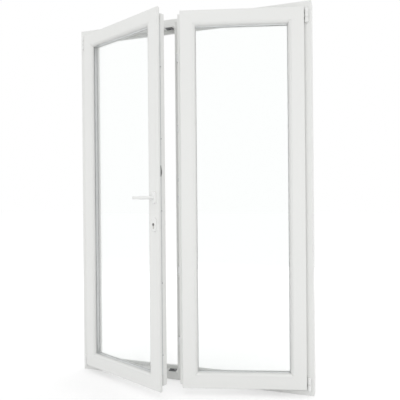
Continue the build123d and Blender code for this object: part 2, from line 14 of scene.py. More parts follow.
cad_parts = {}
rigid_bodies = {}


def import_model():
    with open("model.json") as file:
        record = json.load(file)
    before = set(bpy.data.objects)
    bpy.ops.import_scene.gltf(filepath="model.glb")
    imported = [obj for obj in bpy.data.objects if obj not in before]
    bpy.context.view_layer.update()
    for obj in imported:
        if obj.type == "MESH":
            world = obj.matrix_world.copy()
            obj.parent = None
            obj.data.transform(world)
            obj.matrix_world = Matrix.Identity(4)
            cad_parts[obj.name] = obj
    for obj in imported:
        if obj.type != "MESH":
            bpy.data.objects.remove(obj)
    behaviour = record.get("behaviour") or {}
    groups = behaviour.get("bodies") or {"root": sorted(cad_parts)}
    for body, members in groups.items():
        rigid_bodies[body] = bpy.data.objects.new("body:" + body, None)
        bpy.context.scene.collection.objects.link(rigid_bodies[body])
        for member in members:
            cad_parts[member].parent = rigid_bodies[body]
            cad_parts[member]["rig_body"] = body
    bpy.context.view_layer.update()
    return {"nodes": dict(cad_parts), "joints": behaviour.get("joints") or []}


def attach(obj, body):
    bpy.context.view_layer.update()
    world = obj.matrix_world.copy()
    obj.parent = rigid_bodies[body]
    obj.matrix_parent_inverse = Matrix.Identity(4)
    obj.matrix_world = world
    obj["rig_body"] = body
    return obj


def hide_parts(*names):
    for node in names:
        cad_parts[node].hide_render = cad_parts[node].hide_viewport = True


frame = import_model()
nodes = frame["nodes"]

# Camera of the photograph: focal length in pixels, sensor in millimetres, angles in degrees
PICTURE_WIDTH = 400
FOCAL_PIXELS = 476.4
SENSOR_WIDTH = 36.0
CAMERA_PLACE = Vector((0.939, -2.6168, 1.051))
CAMERA_YAW = 18.60
CAMERA_PITCH = -0.11
CAMERA_ROLL = -0.51
LEVEL_TILT = 90

# Studio: floor, brightness of the surroundings, and soft boxes by place, width and watts
FLOOR_HALF = 30.0
FLOOR_DROP = 0.0005
FLOOR_WHITE = (0.66, 0.66, 0.66, 1)
FLOOR_ROUGHNESS = 0.9
FLOOR_LIFT = 0.44
STUDIO_WHITE = (1, 1, 1, 1)
AMBIENT = 0.86
SEEN_RAYS = ("Is Camera Ray", "Is Glossy Ray", "Is Transmission Ray")
LAMP_TARGET = Vector((0, 0, 1.05))
LAMPS = (
    ("key_lamp", (-1.2, -4.5, 0.95), 2.6, 46),
    ("fill_lamp", (4.6, -0.9, 1.0), 2.2, 34),
    ("weather_lamp", (0.4, 4.6, 1.5), 2.6, 44),
)

# Finishes: linear colours, and the shade or the share of itself that each drifts to
PVC_WHITE = (0.86, 0.865, 0.85, 1)
PVC_SHADE = (0.80, 0.805, 0.785, 1)
COVER_WHITE = (0.87, 0.875, 0.865, 1)
LEVER_WHITE = (0.88, 0.885, 0.875, 1)
WHITE_FADE = (0.93, 0.93, 0.92)
SEAL_GREY = (0.80, 0.805, 0.795, 1)
GLAZING_SEAL_GREY = (0.66, 0.665, 0.66, 1)
SEAL_FADE = (0.87, 0.87, 0.87)
GLASS_TINT = (0.992, 0.999, 0.996, 1)
GLASS_FILM = (0.985, 0.996, 0.992, 1)
SPACER_GREY = (0.88, 0.89, 0.89, 1)
SPACER_SHADE = (0.78, 0.79, 0.80, 1)
ZINC_GREY = (0.66, 0.67, 0.68, 1)
ZINC_SHADE = (0.56, 0.57, 0.56, 1)
KEEP_DARK = (0.11, 0.115, 0.12, 1)
KEEP_RUBBED = (0.2, 0.2, 0.205, 1)
NICKEL = (0.60, 0.59, 0.57, 1)
NICKEL_SHADE = (0.50, 0.49, 0.47, 1)
# Painted shade: the plug of the key cylinder, far darker than its nickel housing, standing in for the
# shade round the keyhole
PLUG_PAINTED_SHADE_GREY = (0.20, 0.195, 0.19, 1)
PLUG_PAINTED_SHADE_DEEP = (0.14, 0.135, 0.13, 1)
# Painted shade: darker zinc for the floors of screw recesses and the mouths of cam sockets, standing
# in for the shade inside them
ZINC_PAINTED_SHADE_GREY = (0.36, 0.365, 0.37, 1)
ZINC_PAINTED_SHADE_DEEP = (0.26, 0.265, 0.27, 1)
# Painted shade: near-black, drifting slightly lighter, for key slots, hinge sockets and drain mouths
SLOT_PAINTED_SHADE = (0.02, 0.02, 0.02, 1)
SLOT_PAINTED_SHADE_LIGHT = (0.05, 0.05, 0.05, 1)

# Gloss, and the height and detail of the fine textures
PVC_COAT = 0.12
PVC_COAT_ROUGHNESS = 0.18
GLASS_IOR = 1.45
KEEP_METALLIC = 0.35
FINE_RELIEF = 0.0001
CAST_RELIEF = 0.0002
TONE_DETAIL = 4.0
GRAIN_DETAIL = 2.0
STREAK_DETAIL = 3.0
NOISE_MIDDLE = 0.5

# Softness of the edges that the CAD solids leave sharp
PROFILE_EDGE = 0.0004
HARDWARE_EDGE = 0.0004
NO_EDGE = 0
EDGE_SEGMENTS = 2
SHARP_ANGLE = math.radians(28)
WELD_DISTANCE = 0.00002
JOIN_DISTANCE = 1e-7

# Lever: the grip's sections by distance from the handle axis, height and thickness
NECK_RADIUS = 0.009
NECK_GAP = 0.0005
BEND_RADIUS = 0.015
LEVER_PROJECTION = 0.046
LEVER_LENGTH = 0.122
GRIP_SECTIONS = (
    (0.015, 0.018, 0.018),
    (0.048, 0.019, 0.0125),
    (0.096, 0.0145, 0.011),
    (0.116, 0.016, 0.0115),
)

# Lever's rings: power 2 is round and more is squarer, which the first share of the grip leads to
ROUND_POWER = 2
GRIP_POWER = 2.6
GRIP_SQUARING = 0.25
GRIP_STEP = 0.004
BEND_STEPS = 10
TIP_STEPS = 7
TIP_POWER = 0.6

# Rosette, escutcheon and key cylinder
ROSETTE_CORNER = 0.013
ROSETTE_EDGE = 0.0035
NECK_HOLE = 0.0093
COLLAR_WIDTH = 0.0019
COLLAR_RISE = 0.0009
ESCUTCHEON_CORNER = 0.014
ESCUTCHEON_EDGE = 0.003
RIM_WIDTH = 0.0016
RIM_RISE = 0.0006
CYLINDER_RADIUS = 0.0087
CYLINDER_FOOT = 0.0052
CYLINDER_FOOT_DROP = 0.0195
PLUG_RADIUS = 0.0066
PLUG_RISE = 0.0004
KEY_SLOT_HALF_WIDTH = 0.0013
KEY_SLOT_HALF_HEIGHT = 0.0046

# Keeps and cams
KEEP_SPACING = 0.383
KEEP_COUNT = 5
KEEP_HEIGHT = 0.007
KEEP_SLOT_FLOOR = 0.0015
KEEP_SOLID_END = 0.015
KEEP_SLOT_SCREW = -0.006
CAM_DROP = 0.060
CAM_SOCKET_RADIUS = 0.0026
CAM_SOCKET_RISE = 0.0002

# Cross-head screws: three sizes, then shares of the radius, of the rise and of the recess's depth
SCREW_RADIUS = 0.0036
SCREW_RISE = 0.0005
SCREW_RECESS = 0.0012
SCREW_SHOULDER = 0.94
SCREW_CROWN = 0.75
CROSS_ARM = 0.62
CROSS_HALF_WIDTH = 0.17
SHOULDER_RISE = 0.7
RECESS_WALL = 0.8
RECESS_FLOOR = 0.5

# Caps over the fixing screws in the rebate, and caps on the hinge ends
FIXING_LEVELS = (0.25, 0.75, 1.35, 1.85)
REBATE_FLOOR = 0.655
FIXING_CAP_RADIUS = 0.0075
FIXING_CAP_RISE = 0.0016
HINGE_CAP_RADIUS = 0.0068
HINGE_CAP_RISE = 0.0010
HINGE_SOCKET_RADIUS = 0.0024
HINGE_SOCKET_RISE = 0.00105

# Drain covers; half a mouth's width is a share of the cover's
DRAIN_STEPS = (-1, 0, 1)
DRAIN_SPACING = 0.44
DRAIN_CORNER = 0.0062
DRAIN_EDGE = 0.003
DRAIN_MOUTH_HEIGHT = 0.0028
DRAIN_MOUTH_SHARE = 0.36
DRAIN_MOUTH_DEPTH = 0.0002
DRAIN_MOUTH_RISE = 0.0001

# Fineness of the round forms
ROUND_POINTS = 64
EDGE_STEPS = 5
FULL_TURN = 2 * math.pi
QUARTER_TURN = math.pi / 2
NEARLY_ZERO = 1e-9

# Directions seen from the room, and the ways a seat can face: its direction across, then its up
RIGHT, LEFT = Vector((1, 0, 0)), Vector((-1, 0, 0))
OUTSIDE, INSIDE = Vector((0, 1, 0)), Vector((0, -1, 0))
UP = Vector((0, 0, 1))
FACING_ROOM = (RIGHT, UP)
FACING_WEATHER = (LEFT, UP)
FACING_RIGHT = (OUTSIDE, UP)
FACING_LEFT = (INSIDE, UP)
FACING_LEFT_ON_END = (UP, OUTSIDE)
FACING_UP = (RIGHT, OUTSIDE)
FACING_DOWN = (RIGHT, INSIDE)


# Places of the bodies and of what sits on them
def joint_named(name):
    """One of the door's joints."""
    return next(joint for joint in frame["joints"] if joint["name"] == name)


def leaf_place(joint_name):
    """Matrix from the shut door to the leaf as it stands: from the hinge's lower limit to rest."""
    joint = joint_named(joint_name)
    pivot = Matrix.Translation(joint["pos_m"])
    turn = Matrix.Rotation(-math.radians(joint["range_deg"][0]), 4, Vector(joint["axis"]))
    return pivot @ turn @ pivot.inverted()


PLACES = {
    "frame": Matrix.Identity(4),
    "left_leaf": leaf_place("left_leaf_hinge"),
    "handle": leaf_place("left_leaf_hinge"),
    "right_leaf": leaf_place("right_leaf_hinge"),
}


def shut_box(node):
    """Lowest and highest corner of a CAD node when its leaf is shut."""
    solid = nodes[node]
    back = PLACES[solid["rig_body"]].inverted()
    points = [back @ vertex.co for vertex in solid.data.vertices]
    low = Vector([min(point[axis] for point in points) for axis in range(3)])
    high = Vector([max(point[axis] for point in points) for axis in range(3)])
    return low, high


def seat(origin, across, up):
    """Matrix of a place on a surface: local X across, local Y up, local Z out of the surface."""
    turn = Matrix((across, up, across.cross(up))).transposed().to_4x4()
    return Matrix.Translation(origin) @ turn


# Outlines, each a list of points by angle round its middle
def angles():
    """The angles at which every outline is sampled."""
    return [FULL_TURN * step / ROUND_POINTS for step in range(ROUND_POINTS)]


def by_reach(reach):
    """An outline from a function that gives its reach in a direction."""
    points = []
    for angle in angles():
        across, up = math.cos(angle), math.sin(angle)
        length = reach(across, up)
        points.append((across * length, up * length))
    return points


def circle(radius):
    """A round outline."""
    return by_reach(lambda across, up: radius)


def bar_reach(across, up, half_width, half_height):
    """How far a rectangle reaches in a direction."""
    sideways = half_width / max(abs(across), NEARLY_ZERO)
    upwards = half_height / max(abs(up), NEARLY_ZERO)
    return min(sideways, upwards)


def arc_reach(across, up, middle_across, middle_up, radius):
    """How far a circle away from the middle reaches in a direction, or 0 where it is missed."""
    along = across * middle_across + up * middle_up
    spare = along * along - middle_across ** 2 - middle_up ** 2 + radius * radius
    return along + math.sqrt(spare) if spare > 0 else 0.0


def rectangle(half_width, half_height):
    """A rectangle with sharp corners."""
    return by_reach(lambda across, up: bar_reach(across, up, half_width, half_height))


def rounded_rectangle(width, height, corner):
    """A rectangle with round corners."""
    inner_width, inner_height = width / 2 - corner, height / 2 - corner

    def reach(across, up):
        length = bar_reach(across, up, width / 2, height / 2)
        if abs(across) * length > inner_width and abs(up) * length > inner_height:
            return arc_reach(abs(across), abs(up), inner_width, inner_height, corner)
        return length
    return by_reach(reach)


def neck_hole(clearance):
    """The outline of the lever's neck, with room round it."""
    return circle(NECK_HOLE + clearance)


def pear(clearance):
    """The outline of a key cylinder, with room round it: a round housing on a round-ended foot."""
    def reach(across, up):
        length = CYLINDER_RADIUS + clearance
        if up < 0:
            foot = CYLINDER_FOOT + clearance
            side = bar_reach(across, up, foot, CYLINDER_FOOT_DROP)
            length = max(length, side, arc_reach(across, up, 0, -CYLINDER_FOOT_DROP, foot))
        return length
    return by_reach(reach)


def cross(radius):
    """The recess of a cross-head screw."""
    arm, half_width = radius * CROSS_ARM, radius * CROSS_HALF_WIDTH
    return by_reach(lambda across, up: max(
        bar_reach(across, up, arm, half_width), bar_reach(across, up, half_width, arm)))


# Forms and pieces
class Form:
    """Points and faces of one piece, gathered with the door shut."""

    def __init__(self):
        self.points = []
        self.faces = []

    def loft(self, rings, start_cap=True, end_cap=True):
        """A skin between rings that have equal numbers of points."""
        first, size = len(self.points), len(rings[0])
        for ring in rings:
            self.points.extend(ring)
        for level in range(len(rings) - 1):
            near = first + level * size
            far = near + size
            for step in range(size):
                after = (step + 1) % size
                self.faces.append((near + step, near + after, far + after, far + step))
        if start_cap:
            self.faces.append(tuple(range(first, first + size))[::-1])
        if end_cap:
            last = first + size * (len(rings) - 1)
            self.faces.append(tuple(range(last, last + size)))

    def stack(self, place, levels, start_cap=True, end_cap=True):
        """A skin through outlines at given heights above a place."""
        rings = [[place @ Vector((u, v, height)) for u, v in outline] for outline, height in levels]
        self.loft(rings, start_cap, end_cap)


def soft_edge(outline_at, edge, top):
    """Outlines over a quarter-round edge, from the wall to the top face."""
    levels = []
    for step in range(EDGE_STEPS + 1):
        turn = QUARTER_TURN * step / EDGE_STEPS
        inset = edge * (1 - math.cos(turn))
        levels.append((outline_at(inset), top - edge + edge * math.sin(turn)))
    return levels


def cover_levels(width, height, corner, edge, top):
    """Outlines of a rounded rectangular cover, from its foot over its soft edge."""
    def outline(inset):
        return rounded_rectangle(width - 2 * inset, height - 2 * inset, corner - inset)
    return [(outline(0), 0)] + soft_edge(outline, edge, top)


def make_piece(name, form, body, material, replaced=()):
    """Turn a form into an object that rides on its body, in that body's place at rest."""
    mesh = bpy.data.meshes.new(name)
    mesh.from_pydata(form.points, [], form.faces)
    shape = bmesh.new()
    shape.from_mesh(mesh)
    bmesh.ops.remove_doubles(shape, verts=shape.verts, dist=JOIN_DISTANCE)
    bmesh.ops.recalc_face_normals(shape, faces=shape.faces)
    shape.to_mesh(mesh)
    shape.free()
    mesh.transform(PLACES[body])
    mesh.shade_smooth()
    mesh.set_sharp_from_angle(angle=SHARP_ANGLE)
    mesh.materials.append(material)
    piece = bpy.data.objects.new(name, mesh)
    bpy.context.scene.collection.objects.link(piece)
    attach(piece, body)
    if replaced:
        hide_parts(*replaced)


# Shader node groups
def new_group(name, inputs, outputs):
    """An empty shader group with named sockets, and its two ends."""
    group = bpy.data.node_groups.new(name, "ShaderNodeTree")
    for socket, kind in inputs:
        group.interface.new_socket(socket, in_out="INPUT", socket_type=kind)
    for socket, kind in outputs:
        group.interface.new_socket(socket, in_out="OUTPUT", socket_type=kind)
    return group, group.nodes.new("NodeGroupInput"), group.nodes.new("NodeGroupOutput")


def math_node(tree, operation, first, second):
    """A Math node whose two values are sockets or numbers."""
    node = tree.nodes.new("ShaderNodeMath")
    node.operation = operation
    for socket, value in zip(node.inputs, (first, second)):
        if isinstance(value, (int, float)):
            socket.default_value = value
        else:
            tree.links.new(value, socket)
    return node.outputs[0]


def tone_group():
    """Slow changes of tone and gloss over a surface, as handling and dust leave them."""
    group, start, end = new_group(
        "tone_and_gloss",
        [
            ("Vector", "NodeSocketVector"),
            ("Color", "NodeSocketColor"),
            ("Shade", "NodeSocketColor"),
            ("Scale", "NodeSocketFloat"),
            ("Amount", "NodeSocketFloat"),
            ("Roughness", "NodeSocketFloat"),
            ("Gloss Swing", "NodeSocketFloat"),
        ],
        [("Color", "NodeSocketColor"), ("Roughness", "NodeSocketFloat")],
    )
    clouds = group.nodes.new("ShaderNodeTexNoise")
    clouds.inputs["Detail"].default_value = TONE_DETAIL
    group.links.new(start.outputs["Vector"], clouds.inputs["Vector"])
    group.links.new(start.outputs["Scale"], clouds.inputs["Scale"])
    mix = group.nodes.new("ShaderNodeMix")
    mix.data_type = "RGBA"
    share = math_node(group, "MULTIPLY", clouds.outputs["Fac"], start.outputs["Amount"])
    group.links.new(share, mix.inputs["Factor"])
    group.links.new(start.outputs["Color"], mix.inputs["A"])
    group.links.new(start.outputs["Shade"], mix.inputs["B"])
    group.links.new(mix.outputs["Result"], end.inputs["Color"])
    centred = math_node(group, "SUBTRACT", clouds.outputs["Fac"], NOISE_MIDDLE)
    swing = math_node(group, "MULTIPLY", centred, start.outputs["Gloss Swing"])
    roughness = math_node(group, "ADD", start.outputs["Roughness"], swing)
    group.links.new(roughness, end.inputs["Roughness"])
    return group


def grain_group():
    """A fine even grain, for moulded, powder-coated and cast surfaces."""
    group, start, end = new_group(
        "fine_grain",
        [("Vector", "NodeSocketVector"), ("Scale", "NodeSocketFloat")],
        [("Height", "NodeSocketFloat")],
    )
    grain = group.nodes.new("ShaderNodeTexNoise")
    grain.inputs["Detail"].default_value = GRAIN_DETAIL
    group.links.new(start.outputs["Vector"], grain.inputs["Vector"])
    group.links.new(start.outputs["Scale"], grain.inputs["Scale"])
    group.links.new(grain.outputs["Fac"], end.inputs["Height"])
    return group


def streak_group():
    """Fine lines along local Z, for drawn profiles and brushed metal."""
    group, start, end = new_group(
        "drawn_streaks",
        [
            ("Vector", "NodeSocketVector"),
            ("Across", "NodeSocketFloat"),
            ("Along", "NodeSocketFloat"),
        ],
        [("Height", "NodeSocketFloat")],
    )
    stretch = group.nodes.new("ShaderNodeCombineXYZ")
    group.links.new(start.outputs["Across"], stretch.inputs["X"])
    group.links.new(start.outputs["Across"], stretch.inputs["Y"])
    group.links.new(start.outputs["Along"], stretch.inputs["Z"])
    scaled = group.nodes.new("ShaderNodeVectorMath")
    scaled.operation = "MULTIPLY"
    group.links.new(start.outputs["Vector"], scaled.inputs[0])
    group.links.new(stretch.outputs["Vector"], scaled.inputs[1])
    lines = group.nodes.new("ShaderNodeTexNoise")
    lines.inputs["Scale"].default_value = 1.0
    lines.inputs["Detail"].default_value = STREAK_DETAIL
    group.links.new(scaled.outputs["Vector"], lines.inputs["Vector"])
    group.links.new(lines.outputs["Fac"], end.inputs["Height"])
    return group


TONE = tone_group()
GRAIN = grain_group()
STREAKS = streak_group()


# Materials
def place_group(tree, group, vector, **values):
    """Put a shader group in a material with its own values."""
    node = tree.nodes.new("ShaderNodeGroup")
    node.node_tree = group
    tree.links.new(vector, node.inputs["Vector"])
    for socket, value in values.items():
        node.inputs[socket.replace("_", " ")].default_value = value
    return node


def new_material(name):
    """A material with its tree, its shader and the piece's own coordinates."""
    material = bpy.data.materials.new(name)
    material.use_nodes = True
    tree = material.node_tree
    coordinates = tree.nodes.new("ShaderNodeTexCoord")
    return material, tree, tree.nodes["Principled BSDF"], coordinates.outputs["Object"]


def turned_vector(tree, vector, turn):
    """Coordinates turned so that local Z runs along a bar."""
    mapping = tree.nodes.new("ShaderNodeMapping")
    mapping.inputs["Rotation"].default_value = turn
    tree.links.new(vector, mapping.inputs["Vector"])
    return mapping.outputs["Vector"]


def add_tone(tree, shader, vector, colour, shade, scale, amount, roughness, swing):
    """Tone and gloss changes into a shader's colour and roughness."""
    tone = place_group(tree, TONE, vector, Color=colour, Shade=shade, Scale=scale, Amount=amount,
                       Roughness=roughness, Gloss_Swing=swing)
    tree.links.new(tone.outputs["Color"], shader.inputs["Base Color"])
    tree.links.new(tone.outputs["Roughness"], shader.inputs["Roughness"])


def add_bump(tree, shader, texture, distance, strength):
    """The height of a fine texture into a shader's normal."""
    bump = tree.nodes.new("ShaderNodeBump")
    bump.inputs["Distance"].default_value = distance
    bump.inputs["Strength"].default_value = strength
    tree.links.new(texture.outputs["Height"], bump.inputs["Height"])
    tree.links.new(bump.outputs["Normal"], shader.inputs["Normal"])


def faded(colour, fade):
    """A colour brought down to a share of itself."""
    return (*(tone * share for tone, share in zip(colour, fade)), 1)


def drawn_pvc(name, turn):
    """White extruded profile: satin, with faint die lines along the bar."""
    material, tree, shader, vector = new_material(name)
    add_tone(tree, shader, vector, PVC_WHITE, PVC_SHADE,
             scale=3.0, amount=0.35, roughness=0.30, swing=0.10)
    along = turned_vector(tree, vector, turn)
    lines = place_group(tree, STREAKS, along, Across=900.0, Along=2.0)
    add_bump(tree, shader, lines, FINE_RELIEF, strength=0.10)
    shader.inputs["Coat Weight"].default_value = PVC_COAT
    shader.inputs["Coat Roughness"].default_value = PVC_COAT_ROUGHNESS
    return material


def moulded_white(name, colour, grain_scale, roughness):
    """White moulded plastic or powder coat: a fine grain under a satin skin."""
    material, tree, shader, vector = new_material(name)
    add_tone(tree, shader, vector, colour, faded(colour, WHITE_FADE),
             scale=18.0, amount=0.3, roughness=roughness, swing=0.08)
    grain = place_group(tree, GRAIN, vector, Scale=grain_scale)
    add_bump(tree, shader, grain, FINE_RELIEF, strength=0.12)
    return material


def seal_rubber(name, colour):
    """Grey rubber seal, dull with a slight bloom."""
    material, tree, shader, vector = new_material(name)
    add_tone(tree, shader, vector, colour, faded(colour, SEAL_FADE),
             scale=30.0, amount=0.5, roughness=0.62, swing=0.15)
    grain = place_group(tree, GRAIN, vector, Scale=2500.0)
    add_bump(tree, shader, grain, FINE_RELIEF, strength=0.2)
    return material


def pane_glass():
    """Clear float glass with the faintest film on it."""
    material, tree, shader, vector = new_material("clear_float_glass")
    add_tone(tree, shader, vector, GLASS_TINT, GLASS_FILM,
             scale=2.0, amount=0.3, roughness=0.004, swing=0.006)
    shader.inputs["Transmission Weight"].default_value = 1.0
    shader.inputs["IOR"].default_value = GLASS_IOR
    return material


def drawn_metal(name, colour, shade, roughness, across, along):
    """Bright metal with fine lines from rolling or drawing."""
    material, tree, shader, vector = new_material(name)
    add_tone(tree, shader, vector, colour, shade,
             scale=40.0, amount=0.6, roughness=roughness, swing=0.12)
    lines = place_group(tree, STREAKS, vector, Across=across, Along=along)
    add_bump(tree, shader, lines, FINE_RELIEF, strength=0.15)
    shader.inputs["Metallic"].default_value = 1.0
    return material


def cast_keep():
    """Dark die-cast zinc with a fine cast skin."""
    material, tree, shader, vector = new_material("dark_cast_zinc")
    add_tone(tree, shader, vector, KEEP_DARK, KEEP_RUBBED,
             scale=60.0, amount=0.6, roughness=0.42, swing=0.15)
    grain = place_group(tree, GRAIN, vector, Scale=1400.0)
    add_bump(tree, shader, grain, CAST_RELIEF, strength=0.25)
    shader.inputs["Metallic"].default_value = KEEP_METALLIC
    return material


def painted_shade_in_hollows():
    """Painted shade: near-black standing in for the shade inside a key slot, socket or drain mouth.
    """
    material, tree, shader, vector = new_material("hollow_painted_shade")
    add_tone(tree, shader, vector, SLOT_PAINTED_SHADE, SLOT_PAINTED_SHADE_LIGHT,
             scale=200.0, amount=0.5, roughness=0.6, swing=0.1)
    return material


def level_turn(body):
    """Turn of the coordinates that lays local Z along a body's level bars."""
    heading = PLACES[body].to_euler().z
    tip = Matrix.Rotation(-QUARTER_TURN, 4, "Y") @ Matrix.Rotation(-heading, 4, "Z")
    return tip.to_euler()


UPRIGHT_TURN = (0, 0, 0)
UPRIGHT_PVC = drawn_pvc("white_pvc_upright", UPRIGHT_TURN)
LEVEL_PVC = {
    body: drawn_pvc("white_pvc_level_" + body, level_turn(body))
    for body in ("frame", "left_leaf", "right_leaf")
}
COVER = moulded_white("white_moulded_cover", COVER_WHITE, grain_scale=1800.0, roughness=0.34)
LEVER = moulded_white("white_lever_coat", LEVER_WHITE, grain_scale=1100.0, roughness=0.26)
SEAL = seal_rubber("grey_seal_rubber", SEAL_GREY)
GLAZING_SEAL = seal_rubber("glazing_seal_rubber", GLAZING_SEAL_GREY)
GLASS = pane_glass()
SPACER = drawn_metal("spacer_aluminium", SPACER_GREY, SPACER_SHADE,
                     roughness=0.46, across=700.0, along=8.0)
ZINC = drawn_metal("zinc_plated_steel", ZINC_GREY, ZINC_SHADE,
                   roughness=0.30, across=1200.0, along=6.0)
KEEP = cast_keep()
BRIGHT_NICKEL = drawn_metal("nickel_plate", NICKEL, NICKEL_SHADE,
                            roughness=0.24, across=1500.0, along=60.0)
# Painted shade on the cylinder's plug
PLUG_PAINTED_SHADE_METAL = drawn_metal("plug_in_painted_shade", PLUG_PAINTED_SHADE_GREY, PLUG_PAINTED_SHADE_DEEP,
                        roughness=0.38, across=1500.0, along=60.0)
# Painted shade for the floors of screw recesses and the mouths of cam sockets
PAINTED_SHADE_ZINC = drawn_metal("zinc_in_painted_shade", ZINC_PAINTED_SHADE_GREY, ZINC_PAINTED_SHADE_DEEP,
                     roughness=0.5, across=900.0, along=90.0)
# Painted shade for the insides of the key slot, hinge sockets and drain mouths
HOLLOW_SHADE_PAINT = painted_shade_in_hollows()


# Finishes on the CAD nodes, with their sharp edges softened
def soften(node, edge):
    """Weld a solid's mesh and break its sharp edges, so that they catch the light."""
    weld = node.modifiers.new("weld", "WELD")
    weld.merge_threshold = WELD_DISTANCE
    bevel = node.modifiers.new("edge", "BEVEL")
    bevel.width = edge
    bevel.segments = EDGE_SEGMENTS
    bevel.limit_method = "ANGLE"
    bevel.angle_limit = SHARP_ANGLE
    bevel.harden_normals = True
    bevel.use_clamp_overlap = False


def finish_nodes(material, edge, *names):
    """Give CAD nodes their material and softened edges."""
    for name in names:
        node = nodes[name]
        node.data.materials.clear()
        node.data.materials.append(material)
        if edge:
            soften(node, edge)


def finish_frame():
    """The frame with its seal, hinge halves and keeps."""
    finish_nodes(UPRIGHT_PVC, PROFILE_EDGE, "frame_left_jamb", "frame_right_jamb")
    finish_nodes(LEVEL_PVC["frame"], PROFILE_EDGE, "frame_head", "frame_sill")
    finish_nodes(SEAL, NO_EDGE, "frame_seal")
    finish_nodes(COVER, HARDWARE_EDGE, "left_hinge_bearings", "right_hinge_bearings")
    finish_nodes(KEEP, HARDWARE_EDGE, "head_keep", "sill_keep")


def finish_leaf(leaf, free_stile, hinge_arms):
    """The bars, glazing, seals and hinge halves that both leaves have."""
    finish_nodes(UPRIGHT_PVC, PROFILE_EDGE, leaf + "_hinge_stile", free_stile)
    finish_nodes(LEVEL_PVC[leaf], PROFILE_EDGE, leaf + "_top_rail", leaf + "_bottom_rail")
    finish_nodes(UPRIGHT_PVC, HARDWARE_EDGE, leaf + "_glazing_beads")
    finish_nodes(GLASS, NO_EDGE, leaf + "_panes")
    finish_nodes(SPACER, NO_EDGE, leaf + "_pane_spacer")
    finish_nodes(GLAZING_SEAL, NO_EDGE, leaf + "_glazing_seals")
    finish_nodes(SEAL, NO_EDGE, leaf + "_seal")
    finish_nodes(COVER, HARDWARE_EDGE, hinge_arms)
    nodes[leaf + "_panes"].visible_shadow = False


def finish_hardware():
    """The lock's fittings on the active leaf, and the mullion on the passive one."""
    finish_nodes(ZINC, HARDWARE_EDGE, "lock_faceplate", "lock_cams", "mullion_keeps")
    finish_nodes(ZINC, NO_EDGE, "handle_spindle")
    finish_nodes(BRIGHT_NICKEL, HARDWARE_EDGE, "lock_cylinder")
    finish_nodes(KEEP, HARDWARE_EDGE, "leaf_lifter")
    finish_nodes(UPRIGHT_PVC, PROFILE_EDGE, "floating_mullion")
    finish_nodes(COVER, HARDWARE_EDGE, "mullion_end_caps")


# Places on the shut door, from its own solids
rosette_low, rosette_high = shut_box("handle_rosette")
escutcheon_low, escutcheon_high = shut_box("cylinder_escutcheon")
leaf_front = shut_box("left_leaf_lock_stile")[0].y
handle_x = (rosette_low.x + rosette_high.x) / 2
handle_z = (rosette_low.z + rosette_high.z) / 2
key_z = (escutcheon_low.z + escutcheon_high.z) / 2
handle_seat = seat((handle_x, leaf_front, handle_z), *FACING_ROOM)
key_seat = seat((handle_x, leaf_front, key_z), *FACING_ROOM)
middle_z = (shut_box("frame_sill")[0].z + shut_box("frame_head")[1].z) / 2
keep_levels = [
    middle_z + KEEP_SPACING * (step - (KEEP_COUNT - 1) / 2) for step in range(KEEP_COUNT)
]


# Lever
def grip_size(reach):
    """Height and thickness of the grip at a distance from the handle axis, eased between sections."""
    for near, far in zip(GRIP_SECTIONS, GRIP_SECTIONS[1:]):
        if reach <= far[0]:
            share = (reach - near[0]) / (far[0] - near[0])
            ease = share * share * (3 - 2 * share)
            return tuple(a + (b - a) * ease for a, b in zip(near[1:], far[1:]))
    return GRIP_SECTIONS[-1][1:]


def oval(middle, side, height, thickness, power):
    """A ring of points: tall along local Y, thick along the given side direction."""
    ring = []
    for angle in angles():
        c, s = math.cos(angle), math.sin(angle)
        tall = math.copysign(abs(c) ** (2 / power), c) * height / 2
        thick = math.copysign(abs(s) ** (2 / power), s) * thickness / 2
        ring.append(middle + Vector((0, tall, 0)) + side * thick)
    return ring


def neck_rings():
    """The round neck from the rosette over its quarter bend."""
    width = 2 * NECK_RADIUS
    across, foot = Vector((1, 0, 0)), Vector((0, 0, NECK_GAP))
    rings = [oval(foot, across, width, width, ROUND_POWER)]
    bend_level = LEVER_PROJECTION - BEND_RADIUS
    for step in range(BEND_STEPS + 1):
        turn = QUARTER_TURN * step / BEND_STEPS
        aside = BEND_RADIUS * (1 - math.cos(turn))
        middle = Vector((-aside, 0, bend_level + BEND_RADIUS * math.sin(turn)))
        side = Vector((math.cos(turn), 0, math.sin(turn)))
        rings.append(oval(middle, side, width, width, ROUND_POWER))
    return rings


def grip_ring(reach, height, thickness, power):
    """A ring of the grip at a distance from the handle axis."""
    middle, outward = Vector((-reach, 0, LEVER_PROJECTION)), Vector((0, 0, 1))
    return oval(middle, outward, height, thickness, power)


def grip_rings():
    """The grip from the bend through its waist to a rounded tip."""
    rings = []
    start, end = GRIP_SECTIONS[0][0], GRIP_SECTIONS[-1][0]
    count = round((end - start) / GRIP_STEP)
    for step in range(1, count + 1):
        reach = start + (end - start) * step / count
        squareness = min(1, step / count / GRIP_SQUARING)
        power = ROUND_POWER + (GRIP_POWER - ROUND_POWER) * squareness
        rings.append(grip_ring(reach, *grip_size(reach), power))
    for step in range(1, TIP_STEPS + 1):
        turn = QUARTER_TURN * step / (TIP_STEPS + 1)
        reach = end + (LEVER_LENGTH - end) * math.sin(turn)
        height, thickness = (size * math.cos(turn) ** TIP_POWER for size in grip_size(end))
        rings.append(grip_ring(reach, height, thickness, GRIP_POWER))
    return rings


def make_lever():
    """The lever: round neck, quarter bend, and a grip that narrows to a waist before its tip."""
    lever = Form()
    lever.loft([[handle_seat @ point for point in ring] for ring in neck_rings() + grip_rings()])
    make_piece("lever_grip", lever, "handle", LEVER, ("handle_lever",))


